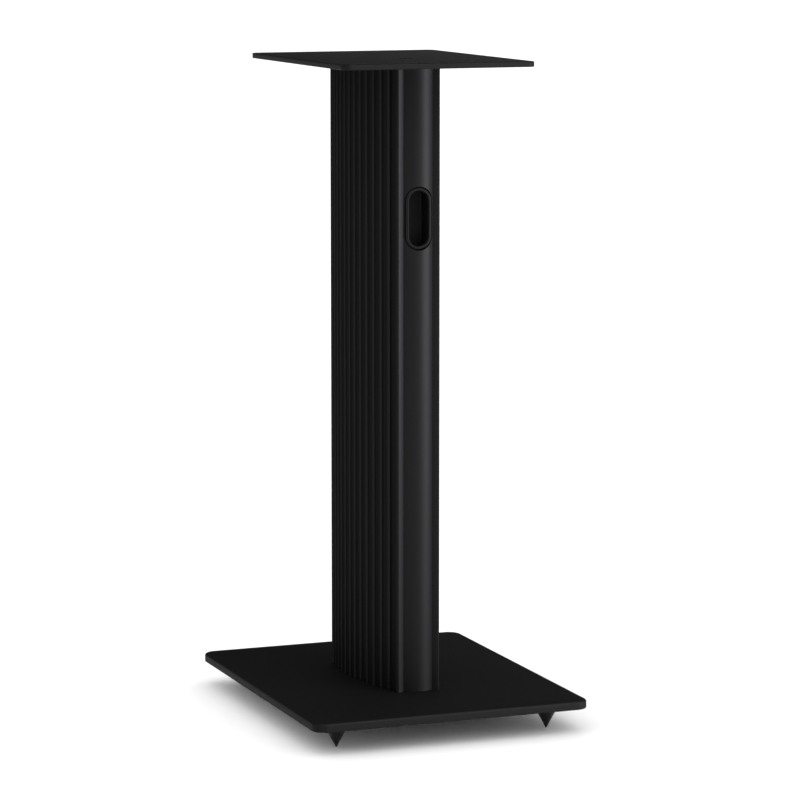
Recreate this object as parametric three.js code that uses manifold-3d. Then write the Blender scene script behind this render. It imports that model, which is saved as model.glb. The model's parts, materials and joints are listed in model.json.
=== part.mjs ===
// Floor stand for a bookshelf loudspeaker.
// Millimetres, +Z up. The origin is on the floor under the middle of the base plate, where the
// spikes stand. The cable entry faces -Y, and +X is to the right of someone who looks along +Y.

import * as THREE from "three";
import { mergeVertices } from "three/addons/utils/BufferGeometryUtils.js";
import Module from "manifold-3d";

const wasm = await Module();
wasm.setup();

// ---- clearances ----
const FIT_GAP = 0.3; // between pieces that seat on, or pass through, each other
const POCKET_GAP = 1.2; // round the cable bezel in its milled pocket

// ---- base plate ----
const BASE_WIDTH = 270;
const BASE_DEPTH = 332;
const BASE_THICKNESS = 8;
const BASE_CORNER_RADIUS = 12.8;
const BASE_TOP_EDGE = 2.2; // rounding of the upper edge
const BASE_LOWER_EDGE = 0.8;

// ---- top plate ----
const TOP_WIDTH = 187;
const TOP_DEPTH = 258;
const TOP_THICKNESS = 5;
const TOP_CORNER_RADIUS = 8.5;
const TOP_EDGE = 0.9;

// ---- column: an extruded profile with fluted flanks that bow outwards ----
const COLUMN_LENGTH = 582.4;
const COLUMN_DEPTH = 151.6; // rear crown to front crown
const FLANK_RADIUS = 218; // plan radius on which the lands between the flutes lie
const FLANK_WIDEST_Y = 23.2;
const FLUTE_PITCH = 11.37; // along the flank's arc
const FLUTE_RADIUS = 4.1; // half-round flutes
const FLUTE_FLOOR_WALL = 2.6; // metal left behind a flute
const REAR_FLUTE_SETBACK = 12.3; // corner's centre to the nearest flute's axis, along Y
const FRONT_FLUTE_SETBACK = 10;
const CROWN_RISE = 4; // crown above the creases beside it
const CREASE_LAND = 0.35; // between the bezel's pocket and the rear creases
const SHOULDER_WIDTH = 5.5; // crease to the centre of the rounded corner
const SHOULDER_LEAN = Math.PI / 12; // slope of a shoulder where it meets the rounded corner
const CORNER_RISE = 0.8; // corner's centre above the creases
const CORNER_RADIUS = 1.3;
const FRONT_FLARE = 1; // front corners outside the flanks' arc

// ---- hollows of the column ----
const CHANNEL_SIDE_ROOM = 0.85; // cable channel wider than the bezel's sleeve, on each side
const CHANNEL_SIDE_WALL = 4; // metal between channel and nearest flutes
const CHANNEL_REAR_WALL = 2.6; // metal between channel and rear creases
const FRONT_WALL = 2.8; // metal at the front creases
const WEB_THICKNESS = 2.5;
const BOSS_RADIUS = 6.2; // screw bosses that stand on the webs
const HOLLOW_CORNER = 3;

// ---- cable entry: stadium opening with a plastic bezel ----
const ENTRY_RADIUS = 9.85; // half the clear width
const ENTRY_HEIGHT = 51.5; // clear height
const ENTRY_DROP = 139.2; // column's upper end to the opening's centre
const BEZEL_WIDTH = 2.9;
const BEZEL_SETBACK = 1.6; // top of the bezel's rounded face behind the crown
const BEZEL_CROWN = 0.9; // height of the rounded face
const THROAT_DEPTH = 6.5; // top of the face to the sleeve's inner end
const SLEEVE_WALL = 1.5;
const POCKET_FLOOR_WALL = 1.6; // metal between the pocket's floor and the channel

// ---- cable exit: stadium bush through the base plate ----
const EXIT_RADIUS = 7.5;
const EXIT_LENGTH = 21; // clear length along X
const EXIT_WALL = 1.2;
const EXIT_FLANGE_WIDTH = 2.4;
const EXIT_FLANGE_THICKNESS = 1.5;

// ---- spikes and their threaded inserts ----
const SPIKE_HEIGHT = 21.7; // tip to shoulder
const SPIKE_RADIUS = 11.7;
const SPIKE_TIP_RADIUS = 0.6;
const SPIKE_RIM = 0.6; // plain rim above the cone
const STUD_RADIUS = 4;
const STUD_CHAMFER = 0.6;
const SPIKE_INSET_X = 31; // from the base plate's edges to a spike's axis
const SPIKE_INSET_Y = 32.3;
const INSERT_WALL = 2.2;
const INSERT_COVER = 1.8; // metal left above an insert's blind hole

// ---- screws, all M6 into the column's bosses ----
const SCREW_Y = 40; // fore and aft of the centre
const SCREW_RADIUS = 3;
const SCREW_ENGAGEMENT = 18; // length inside the column
const SCREW_END_CHAMFER = 0.7;
const COUNTERSUNK_RADIUS = 6;
const COUNTERSUNK_HEIGHT = 3.3;
const COUNTERSUNK_RECESS = 0.3; // head below the top plate's face
const CAP_HEAD_RADIUS = 5;
const CAP_HEAD_HEIGHT = 6;
const SOCKET_RADIUS = 2.3; // hexagon socket, across corners
const COUNTERSUNK_SOCKET_DEPTH = 2;
const CAP_SOCKET_DEPTH = 3.2;
const WASHER_RADIUS = 7;
const WASHER_THICKNESS = 1.2;

// ---- facets ----
const CORNER_STEPS = 6;
const EDGE_STEPS = 3;
const FLUTE_STEPS = 7;
const CROWN_STEPS = 12;
const HOLLOW_STEPS = 6;
const SHOULDER_STEPS = 4;
const BEZEL_STEPS = 4;
const ROUND_STEPS = 28;
const STADIUM_STEPS = 14;

// ---- levels and places worked out from the sizes above ----
const baseUnderside = SPIKE_HEIGHT + FIT_GAP;
const baseTop = baseUnderside + BASE_THICKNESS;
const columnBottom = baseTop + FIT_GAP;
const columnTop = columnBottom + COLUMN_LENGTH;
const topUnderside = columnTop + FIT_GAP;
const topFace = topUnderside + TOP_THICKNESS;
const entryZ = columnTop - ENTRY_DROP;
const insertLength = BASE_THICKNESS - INSERT_COVER - FIT_GAP;
const boltBoreRadius = SCREW_RADIUS + FIT_GAP;
const entryStraight = ENTRY_HEIGHT - 2 * ENTRY_RADIUS;
const exitStraight = EXIT_LENGTH - 2 * EXIT_RADIUS;

// Rear face, front face and webs, each given by its distance from the middle along Y.
const peakY = COLUMN_DEPTH / 2;
const creaseY = peakY - CROWN_RISE;
const cornerY = creaseY + CORNER_RISE;
const webInnerY = SCREW_Y + BOSS_RADIUS;
const webOuterY = webInnerY + WEB_THICKNESS;
const channelRearY = CHANNEL_REAR_WALL - creaseY;
const channelMiddleY = (channelRearY - webOuterY) / 2;
const pocketFloorY = channelRearY - POCKET_FLOOR_WALL;
const bezelFaceY = BEZEL_SETBACK - peakY;

// Across the column: the bezel sets the channel and the rear face, and the channel the flanks.
const channelHalfWidth = ENTRY_RADIUS + SLEEVE_WALL + FIT_GAP + CHANNEL_SIDE_ROOM;
const rearCreaseX = ENTRY_RADIUS + BEZEL_WIDTH + POCKET_GAP + CREASE_LAND;
const rearFluteX = channelHalfWidth + CHANNEL_SIDE_WALL + FLUTE_RADIUS;
const rearFluteAngle = Math.asin(
  (REAR_FLUTE_SETBACK - cornerY - FLANK_WIDEST_Y) / FLANK_RADIUS,
);
const flankCentreX = rearFluteX - FLANK_RADIUS * Math.cos(rearFluteAngle);
const frontFluteAngle = Math.asin(
  (cornerY - FRONT_FLUTE_SETBACK - FLANK_WIDEST_Y) / FLANK_RADIUS,
);
const fluteAngle = FLUTE_PITCH / FLANK_RADIUS;
const fluteCount = Math.floor((frontFluteAngle - rearFluteAngle) / fluteAngle) + 1;

// ---- finishes ----
const finish = (color, roughness, metalness) =>
  new THREE.MeshStandardMaterial({ color, roughness, metalness });
const powderCoat = () => finish(0x1c1c1d, 0.62, 0);
const anodised = () => finish(0x1e1e1f, 0.5, 0.6);
const blackPlastic = () => finish(0x151516, 0.55, 0);
const blackenedSteel = () => finish(0x202021, 0.4, 0.9);
const zincSteel = () => finish(0x8f9194, 0.4, 1);

// ---- solids: joining and cutting ----
function solidOf(geometry) {
  const bare = geometry.clone();
  bare.deleteAttribute("normal");
  bare.deleteAttribute("uv");
  const merged = mergeVertices(bare);
  return new wasm.Manifold(
    new wasm.Mesh({
      numProp: 3,
      vertProperties: merged.attributes.position.array,
      triVerts: new Uint32Array(merged.index.array),
    }),
  );
}

function geometryOf(solid) {
  const mesh = solid.getMesh();
  const geometry = new THREE.BufferGeometry();
  geometry.setAttribute("position", new THREE.BufferAttribute(mesh.vertProperties, 3));
  geometry.setIndex(new THREE.BufferAttribute(mesh.triVerts, 1));
  geometry.computeVertexNormals();
  return geometry;
}

const cut = (geometry, tools) =>
  geometryOf(tools.reduce((body, tool) => body.subtract(solidOf(tool)), solidOf(geometry)));

function node(name, geometry, material, x = 0, y = 0, z = 0) {
  const mesh = new THREE.Mesh(geometry, material);
  mesh.name = name;
  mesh.position.set(x, y, z);
  return mesh;
}

// ---- outlines ----
// Points on an arc from angle `from` to angle `to`, both ends included.
function arcPoints(x, y, radius, from, to, steps) {
  return Array.from({ length: steps + 1 }, (_, i) => {
    const angle = from + ((to - from) * i) / steps;
    return new THREE.Vector2(x + radius * Math.cos(angle), y + radius * Math.sin(angle));
  });
}

// A rectangle with round corners, anticlockwise.
function roundedRectangle(width, depth, radius) {
  const x = width / 2 - radius;
  const y = depth / 2 - radius;
  const corners = [[x, y], [-x, y], [-x, -y], [x, -y]];
  return corners.flatMap(([cx, cy], i) =>
    arcPoints(cx, cy, radius, (i * Math.PI) / 2, ((i + 1) * Math.PI) / 2, CORNER_STEPS),
  );
}

// A stadium with its straight sides along Y, anticlockwise.
function stadium(radius, straight) {
  return [
    ...arcPoints(0, straight / 2, radius, 0, Math.PI, STADIUM_STEPS),
    ...arcPoints(0, -straight / 2, radius, Math.PI, 2 * Math.PI, STADIUM_STEPS),
  ];
}

// ---- general shapes ----
// A closed skin over rings of equal point count; `closed` joins the last ring to the first, and
// otherwise both ends are capped with fans.
function skin(rings, closed) {
  const count = rings[0].length;
  const positions = rings.flat().flatMap((p) => [p.x, p.y, p.z]);
  const index = [];
  const bands = closed ? rings.length : rings.length - 1;
  for (let j = 0; j < bands; j++) {
    const lower = j * count;
    const upper = ((j + 1) % rings.length) * count;
    for (let i = 0; i < count; i++) {
      const next = (i + 1) % count;
      index.push(lower + i, lower + next, upper + next);
      index.push(lower + i, upper + next, upper + i);
    }
  }
  if (!closed) {
    const last = (rings.length - 1) * count;
    for (let i = 1; i < count - 1; i++) {
      index.push(0, i + 1, i);
      index.push(last, last + i, last + i + 1);
    }
  }
  const geometry = new THREE.BufferGeometry();
  geometry.setAttribute("position", new THREE.Float32BufferAttribute(positions, 3));
  geometry.setIndex(index);
  return geometry;
}

const lift = (points, z) => points.map((p) => new THREE.Vector3(p.x, p.y, z));

// A flat plate from z = 0 upwards: the upper edge is rounded, the lower one chamfered.
function plate(width, depth, thickness, cornerRadius, topEdge, lowerEdge) {
  const ring = (inset, z) =>
    lift(roundedRectangle(width - 2 * inset, depth - 2 * inset, cornerRadius - inset), z);
  const rounding = Array.from({ length: EDGE_STEPS + 1 }, (_, i) => {
    const angle = ((Math.PI / 2) * i) / EDGE_STEPS;
    return ring(
      topEdge * (1 - Math.cos(angle)),
      thickness - topEdge * (1 - Math.sin(angle)),
    );
  });
  return skin([ring(lowerEdge, 0), ring(0, lowerEdge), ...rounding], false);
}

// A closed profile of [offset, height] points carried round a stadium.
function stadiumRing(radius, straight, profile) {
  return skin(
    profile.map(([offset, height]) => lift(stadium(radius + offset, straight), height)),
    true,
  );
}

function prism(outline, height, z = 0) {
  const geometry = new THREE.ExtrudeGeometry(new THREE.Shape(outline), {
    depth: height,
    bevelEnabled: false,
  });
  return geometry.translate(0, 0, z);
}

// A solid of revolution about Z from [radius, height] points.
function turned(profile) {
  const points = profile.map(([r, z]) => new THREE.Vector2(r, z));
  return new THREE.LatheGeometry(points, ROUND_STEPS).rotateX(Math.PI / 2);
}

function tube(inner, outer, height) {
  return turned([[inner, 0], [outer, 0], [outer, height], [inner, height], [inner, 0]]);
}

const rod = (radius, height, z) =>
  turned([[0, 0], [radius, 0], [radius, height], [0, height]]).translate(0, 0, z);

const hexagonSocket = (depth, z) =>
  new THREE.CylinderGeometry(SOCKET_RADIUS, SOCKET_RADIUS, depth, 6)
    .rotateX(Math.PI / 2)
    .translate(0, 0, z);

// ---- column ----
// Half width of the arc of radius `radius` about the flank's centre, at y.
const flankHalfWidth = (y, radius) =>
  flankCentreX + Math.sqrt(radius ** 2 - (y - FLANK_WIDEST_Y) ** 2);

// The half-round flutes of the right flank, rear to front, with straight lands between them.
function flankPoints() {
  return Array.from({ length: fluteCount }, (_, i) => {
    const angle = rearFluteAngle + i * fluteAngle;
    return arcPoints(
      flankCentreX + FLANK_RADIUS * Math.cos(angle),
      FLANK_WIDEST_Y + FLANK_RADIUS * Math.sin(angle),
      FLUTE_RADIUS,
      angle - Math.PI / 2,
      angle - (3 * Math.PI) / 2,
      FLUTE_STEPS,
    );
  }).flat();
}

// Half of an end face, from its middle to the rounded corner: a crown up to the crease, then a
// convex shoulder. `way` is -1 for the rear face and 1 for the front face.
function endFacePoints(way, creaseX) {
  const radius = (creaseX ** 2 + CROWN_RISE ** 2) / (2 * CROWN_RISE);
  const reach = Math.asin(creaseX / radius);
  const crown = arcPoints(
    0,
    way * (peakY - radius),
    radius,
    (way * Math.PI) / 2,
    way * (Math.PI / 2 - reach),
    CROWN_STEPS / 2,
  );
  const corner = arcPoints(
    creaseX + SHOULDER_WIDTH,
    way * cornerY,
    CORNER_RADIUS,
    way * (Math.PI / 2 + SHOULDER_LEAN),
    0,
    SHOULDER_STEPS,
  );
  const half = (corner[0].x - creaseX) / 2;
  const shoulder = new THREE.QuadraticBezierCurve(
    crown[crown.length - 1],
    new THREE.Vector2(creaseX + half, corner[0].y - way * half * Math.tan(SHOULDER_LEAN)),
    corner[0],
  ).getPoints(SHOULDER_STEPS);
  return [...crown, ...shoulder.slice(1, -1), ...corner];
}

function columnOutline() {
  const frontCornerX = flankHalfWidth(cornerY, FLANK_RADIUS) + FRONT_FLARE - CORNER_RADIUS;
  const rear = endFacePoints(-1, rearCreaseX);
  const front = endFacePoints(1, frontCornerX - SHOULDER_WIDTH);
  const right = [...rear, ...flankPoints(), ...front.reverse()];
  const left = right.slice(1, -1).reverse().map((p) => new THREE.Vector2(-p.x, p.y));
  return [...right, ...left];
}

// Half width of the hollow behind the flutes, at y.
const hollowHalfWidth = (y) =>
  flankHalfWidth(y, FLANK_RADIUS - FLUTE_RADIUS - FLUTE_FLOOR_WALL);

const mirrored = (points) => [
  ...points,
  ...points.slice().reverse().map((p) => new THREE.Vector2(-p.x, p.y)),
];

// A point near a corner of a hollow, on the wall at y, drawn in by the corner size.
const hollowCorner = (y, sideY, inset) =>
  new THREE.Vector2(hollowHalfWidth(sideY) - inset, y);

// The bowed side of a hollow from rearY to frontY, without its corners.
function hollowSide(rearY, frontY, steps) {
  return Array.from({ length: steps + 1 }, (_, i) => {
    const y = rearY + HOLLOW_CORNER + ((frontY - rearY - 2 * HOLLOW_CORNER) * i) / steps;
    return new THREE.Vector2(hollowHalfWidth(y), y);
  });
}

// The main hollow lies between the webs, and a screw boss stands on each web.
function mainHollow() {
  const sideY = webInnerY - HOLLOW_CORNER;
  return mirrored([
    ...arcPoints(0, -SCREW_Y, BOSS_RADIUS, Math.PI / 2, 0, CORNER_STEPS),
    new THREE.Vector2(BOSS_RADIUS, -webInnerY),
    hollowCorner(-webInnerY, -sideY, HOLLOW_CORNER),
    ...hollowSide(-webInnerY, webInnerY, HOLLOW_STEPS),
    hollowCorner(webInnerY, sideY, HOLLOW_CORNER),
    new THREE.Vector2(BOSS_RADIUS, webInnerY),
    ...arcPoints(0, SCREW_Y, BOSS_RADIUS, 0, -Math.PI / 2, CORNER_STEPS),
  ]);
}

function frontHollow() {
  const frontY = creaseY - FRONT_WALL;
  return mirrored([
    hollowCorner(webOuterY, webOuterY + HOLLOW_CORNER, HOLLOW_CORNER),
    ...hollowSide(webOuterY, frontY, 2),
    hollowCorner(frontY, frontY - HOLLOW_CORNER, 2 * HOLLOW_CORNER),
  ]);
}

function cableChannel() {
  const outline = roundedRectangle(
    2 * channelHalfWidth,
    -webOuterY - channelRearY,
    HOLLOW_CORNER / 2,
  );
  return outline.map((p) => new THREE.Vector2(p.x, p.y + channelMiddleY));
}

// A stadium cutter through the rear face, from y = `from` outwards.
function entryCutter(margin, from) {
  return prism(stadium(ENTRY_RADIUS + margin, entryStraight), from + peakY + CROWN_RISE)
    .rotateX(Math.PI / 2)
    .translate(0, from, COLUMN_LENGTH - ENTRY_DROP);
}

function column() {
  const shape = new THREE.Shape(columnOutline());
  const bores = [-SCREW_Y, SCREW_Y].map((y) =>
    arcPoints(0, y, boltBoreRadius, 0, 2 * Math.PI, ROUND_STEPS).slice(1),
  );
  shape.holes = [cableChannel(), mainHollow(), frontHollow(), ...bores].map(
    (points) => new THREE.Path(points),
  );
  const bar = new THREE.ExtrudeGeometry(shape, { depth: COLUMN_LENGTH, bevelEnabled: false });
  return cut(bar, [
    entryCutter(BEZEL_WIDTH + POCKET_GAP, pocketFloorY),
    entryCutter(SLEEVE_WALL + FIT_GAP, channelRearY + FIT_GAP),
  ]);
}

// ---- cable bezel: a round-faced flange in the pocket and a sleeve through the wall ----
function cableBezel() {
  const seat = FIT_GAP - (pocketFloorY - bezelFaceY); // height of the flange's back, face at 0
  const face = Array.from({ length: BEZEL_STEPS + 1 }, (_, i) => {
    const angle = (Math.PI * i) / BEZEL_STEPS;
    const reach = (BEZEL_WIDTH / 2) * (1 + Math.cos(angle));
    return [reach, BEZEL_CROWN * (Math.sin(angle) - 1)];
  });
  const profile = [
    [0, -THROAT_DEPTH],
    [SLEEVE_WALL, -THROAT_DEPTH],
    [SLEEVE_WALL, seat],
    [BEZEL_WIDTH, seat],
    ...face,
  ];
  return stadiumRing(ENTRY_RADIUS, entryStraight, profile).rotateX(Math.PI / 2);
}

// ---- cable exit bush, from its flange's lower face upwards ----
function exitBush() {
  const height = EXIT_FLANGE_THICKNESS + BASE_THICKNESS;
  const profile = [
    [0, 0],
    [EXIT_FLANGE_WIDTH, 0],
    [EXIT_FLANGE_WIDTH, EXIT_FLANGE_THICKNESS],
    [EXIT_WALL, EXIT_FLANGE_THICKNESS],
    [EXIT_WALL, height],
    [0, height],
  ];
  return stadiumRing(EXIT_RADIUS, exitStraight, profile).rotateZ(Math.PI / 2);
}

// ---- plates ----
const spikeX = BASE_WIDTH / 2 - SPIKE_INSET_X;
const spikeY = BASE_DEPTH / 2 - SPIKE_INSET_Y;
const corners = [
  ["rear_left", -spikeX, -spikeY],
  ["rear_right", spikeX, -spikeY],
  ["front_left", -spikeX, spikeY],
  ["front_right", spikeX, spikeY],
];
const insertBore = STUD_RADIUS + FIT_GAP;
const insertRadius = insertBore + INSERT_WALL;

function basePlate() {
  const blank = plate(
    BASE_WIDTH, BASE_DEPTH, BASE_THICKNESS, BASE_CORNER_RADIUS, BASE_TOP_EDGE, BASE_LOWER_EDGE,
  );
  const slot = prism(stadium(EXIT_RADIUS + EXIT_WALL + FIT_GAP, exitStraight), 2 * BASE_THICKNESS)
    .rotateZ(Math.PI / 2)
    .translate(0, channelMiddleY, -BASE_THICKNESS / 2);
  const screwHoles = [-SCREW_Y, SCREW_Y].map((y) =>
    rod(boltBoreRadius, 2 * BASE_THICKNESS, -BASE_THICKNESS / 2).translate(0, y, 0),
  );
  const sockets = corners.map(([, x, y]) =>
    rod(insertRadius + FIT_GAP, insertLength + 2 * FIT_GAP, -FIT_GAP).translate(x, y, 0),
  );
  return cut(blank, [slot, ...screwHoles, ...sockets]);
}

function topPlate() {
  const blank = plate(TOP_WIDTH, TOP_DEPTH, TOP_THICKNESS, TOP_CORNER_RADIUS, TOP_EDGE, TOP_EDGE);
  const headTop = TOP_THICKNESS - COUNTERSUNK_RECESS;
  const sinks = [-SCREW_Y, SCREW_Y].map((y) =>
    turned([
      [0, -TOP_THICKNESS],
      [boltBoreRadius, -TOP_THICKNESS],
      [boltBoreRadius, headTop - COUNTERSUNK_HEIGHT],
      [COUNTERSUNK_RADIUS + FIT_GAP, headTop],
      [COUNTERSUNK_RADIUS + FIT_GAP, 2 * TOP_THICKNESS],
      [0, 2 * TOP_THICKNESS],
    ]).translate(0, y, 0),
  );
  return cut(blank, sinks);
}

// ---- spikes and inserts ----
function spike() {
  return turned([
    [0, 0],
    [SPIKE_TIP_RADIUS, 0],
    [SPIKE_RADIUS, SPIKE_HEIGHT - SPIKE_RIM],
    [SPIKE_RADIUS, SPIKE_HEIGHT],
    [STUD_RADIUS, SPIKE_HEIGHT],
    [STUD_RADIUS, SPIKE_HEIGHT + insertLength - STUD_CHAMFER],
    [STUD_RADIUS - STUD_CHAMFER, SPIKE_HEIGHT + insertLength],
    [0, SPIKE_HEIGHT + insertLength],
  ]);
}

const insert = () => tube(insertBore, insertRadius, insertLength);

// ---- screws ----
// Countersunk screw, its head's face at z = 0 and its shank downwards.
function countersunkScrew() {
  const length = TOP_THICKNESS - COUNTERSUNK_RECESS + FIT_GAP + SCREW_ENGAGEMENT;
  const blank = turned([
    [0, -length],
    [SCREW_RADIUS - SCREW_END_CHAMFER, -length],
    [SCREW_RADIUS, SCREW_END_CHAMFER - length],
    [SCREW_RADIUS, -COUNTERSUNK_HEIGHT],
    [COUNTERSUNK_RADIUS, 0],
    [0, 0],
  ]);
  return cut(blank, [hexagonSocket(2 * COUNTERSUNK_SOCKET_DEPTH, 0)]);
}

// Cap screw, the underside of its head at z = 0 and its shank upwards.
function capScrew() {
  const length = WASHER_THICKNESS + 3 * FIT_GAP + BASE_THICKNESS + SCREW_ENGAGEMENT;
  const blank = turned([
    [0, -CAP_HEAD_HEIGHT],
    [CAP_HEAD_RADIUS, -CAP_HEAD_HEIGHT],
    [CAP_HEAD_RADIUS, 0],
    [SCREW_RADIUS, 0],
    [SCREW_RADIUS, length - SCREW_END_CHAMFER],
    [SCREW_RADIUS - SCREW_END_CHAMFER, length],
    [0, length],
  ]);
  return cut(blank, [hexagonSocket(2 * CAP_SOCKET_DEPTH, -CAP_HEAD_HEIGHT)]);
}

// ---- assembly ----
const stand = new THREE.Group();
stand.add(node("base_plate", basePlate(), powderCoat(), 0, 0, baseUnderside));
stand.add(node("column", column(), anodised(), 0, 0, columnBottom));
stand.add(node("top_plate", topPlate(), powderCoat(), 0, 0, topUnderside));
stand.add(node("cable_bezel", cableBezel(), blackPlastic(), 0, bezelFaceY, entryZ));
const bushZ = baseUnderside - FIT_GAP - EXIT_FLANGE_THICKNESS;
stand.add(node("cable_exit_bush", exitBush(), blackPlastic(), 0, channelMiddleY, bushZ));

for (const [corner, x, y] of corners) {
  stand.add(node(`insert_${corner}`, insert(), zincSteel(), x, y, baseUnderside));
  stand.add(node(`spike_${corner}`, spike(), blackenedSteel(), x, y, 0));
}

const washerZ = baseUnderside - FIT_GAP - WASHER_THICKNESS;
for (const [end, y] of [["rear", -SCREW_Y], ["front", SCREW_Y]]) {
  const head = topFace - COUNTERSUNK_RECESS;
  stand.add(node(`top_screw_${end}`, countersunkScrew(), blackenedSteel(), 0, y, head));
  const washer = tube(boltBoreRadius, WASHER_RADIUS, WASHER_THICKNESS);
  stand.add(node(`base_washer_${end}`, washer, zincSteel(), 0, y, washerZ));
  stand.add(node(`base_screw_${end}`, capScrew(), blackenedSteel(), 0, y, washerZ - FIT_GAP));
}

export default stand;
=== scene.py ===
"""Floor stand for a bookshelf loudspeaker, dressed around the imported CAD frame.

Metres, +Z up, in the frame of the CAD model: the origin is on the floor under the middle of the
base plate, and the cable entry faces -Y. Sizes below are in millimetres and are turned to metres
where a mesh is made.
"""

import json
import math

import bmesh
import bpy
import numpy as np
from mathutils.geometry import tessellate_polygon
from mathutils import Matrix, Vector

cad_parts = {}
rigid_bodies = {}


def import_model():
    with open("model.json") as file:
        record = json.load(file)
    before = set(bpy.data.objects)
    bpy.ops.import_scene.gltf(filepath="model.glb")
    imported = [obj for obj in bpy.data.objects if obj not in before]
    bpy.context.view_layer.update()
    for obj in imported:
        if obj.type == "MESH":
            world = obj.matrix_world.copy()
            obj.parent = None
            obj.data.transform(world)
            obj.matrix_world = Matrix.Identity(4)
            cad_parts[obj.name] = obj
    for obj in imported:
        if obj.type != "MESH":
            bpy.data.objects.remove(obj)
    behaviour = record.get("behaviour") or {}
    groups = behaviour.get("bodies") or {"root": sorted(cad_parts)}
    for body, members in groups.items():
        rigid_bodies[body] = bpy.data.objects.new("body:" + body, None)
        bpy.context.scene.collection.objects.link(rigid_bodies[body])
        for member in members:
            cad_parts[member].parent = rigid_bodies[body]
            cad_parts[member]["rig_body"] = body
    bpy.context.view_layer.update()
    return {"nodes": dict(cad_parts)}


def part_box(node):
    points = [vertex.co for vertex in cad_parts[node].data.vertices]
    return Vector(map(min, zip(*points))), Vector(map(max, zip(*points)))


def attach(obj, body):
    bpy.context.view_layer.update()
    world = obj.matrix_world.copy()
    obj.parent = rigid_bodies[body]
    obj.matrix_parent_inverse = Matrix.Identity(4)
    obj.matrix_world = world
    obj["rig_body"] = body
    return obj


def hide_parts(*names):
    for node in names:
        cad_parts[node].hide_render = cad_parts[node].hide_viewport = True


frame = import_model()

MM = 0.001
TURN = 2 * math.pi
FLAT_LIMIT = math.radians(35)  # edges that turn more than this stay sharp


def size_of(node):
    """Lowest corner, highest corner and middle of a CAD node, in millimetres."""
    low, high = (np.array(corner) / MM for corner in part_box(node))
    return low, high, (low + high) / 2


# ---- sizes taken from the frame ----
BASE_LOW, BASE_HIGH, _ = size_of("base_plate")
TOP_LOW, TOP_HIGH, _ = size_of("top_plate")
COLUMN_LOW, COLUMN_HIGH, _ = size_of("column")
BEZEL_LOW, BEZEL_HIGH, BEZEL_MIDDLE = size_of("cable_bezel")
BUSH_LOW, BUSH_HIGH, BUSH_MIDDLE = size_of("cable_exit_bush")
SCREW_Y = size_of("top_screw_front")[2][1]

# ---- clearances ----
FIT_GAP = 0.3
POCKET_GAP = 1.2  # round the bezel in the CAD column, which sets the creases beside it

# ---- plates ----
BASE_CORNER_RADIUS = 12.8
BASE_TOP_EDGE = 2.2
BASE_LOWER_EDGE = 0.8
TOP_CORNER_RADIUS = 8.5
TOP_EDGE = 0.9

# ---- column profile ----
PEAK_Y = COLUMN_HIGH[1]
CROWN_RISE = 4.0
CREASE_Y = PEAK_Y - CROWN_RISE
CORNER_RISE = 0.8  # corner's centre beyond the creases
CORNER_Y = CREASE_Y + CORNER_RISE
CORNER_RADIUS = 1.3
SHOULDER_WIDTH = 5.5
SHOULDER_LEAN = math.radians(15)
FRONT_FLARE = 1.0
FLANK_RADIUS = 218.0
FLANK_WIDEST_Y = 23.2
FLUTE_PITCH = 11.37
FLUTE_RADIUS = 4.1
FLUTE_FLOOR_WALL = 2.6
LAND_ROUND = 0.3  # rounding of the long edges between lands and flutes
BOSS_RADIUS = 6.2
WEB_THICKNESS = 2.5
WEB_INNER_Y = SCREW_Y + BOSS_RADIUS
WEB_OUTER_Y = WEB_INNER_Y + WEB_THICKNESS
FRONT_WALL = 2.8
HOLLOW_CORNER = 3.0

# ---- cable entry ----
BEZEL_WIDTH = 2.9
SLEEVE_WALL = 1.5
BEZEL_ROUND = 1.1
LIP_WIDTH = 1.3
LIP_RISE = 0.4
LIP_OUTER_ROUND = 0.3
LIP_INNER_ROUND = 0.5
SLEEVE_CHAMFER = 0.4
PARTING_GAP = 0.8  # dark line round the bezel, where the CAD pocket is wider
CREASE_LAND = 0.35  # between the CAD pocket and the rear creases
CHANNEL_REAR_WALL = 2.6
POCKET_FLOOR_WALL = 1.6
CHANNEL_SIDE_ROOM = 0.85  # beside the bezel's sleeve
CHANNEL_SIDE_WALL = 4.0
ENTRY_RADIUS = BEZEL_HIGH[0] - BEZEL_WIDTH
ENTRY_STRAIGHT = BEZEL_HIGH[2] - BEZEL_LOW[2] - 2 * BEZEL_HIGH[0]
CHANNEL_REAR_Y = CHANNEL_REAR_WALL - CREASE_Y
POCKET_FLOOR_Y = CHANNEL_REAR_Y - POCKET_FLOOR_WALL
CHANNEL_HALF_WIDTH = ENTRY_RADIUS + SLEEVE_WALL + FIT_GAP + CHANNEL_SIDE_ROOM
REAR_CREASE_X = ENTRY_RADIUS + BEZEL_WIDTH + POCKET_GAP + CREASE_LAND
REAR_FLUTE_X = CHANNEL_HALF_WIDTH + CHANNEL_SIDE_WALL + FLUTE_RADIUS
WEB_REAR_Y = -WEB_OUTER_Y
CUTTER_INNER_REACH = 1.5  # how far the pocket's cutter goes into the channel
CUTTER_OUTER_REACH = 8.0  # and how far it stands out of the rear face

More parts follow.
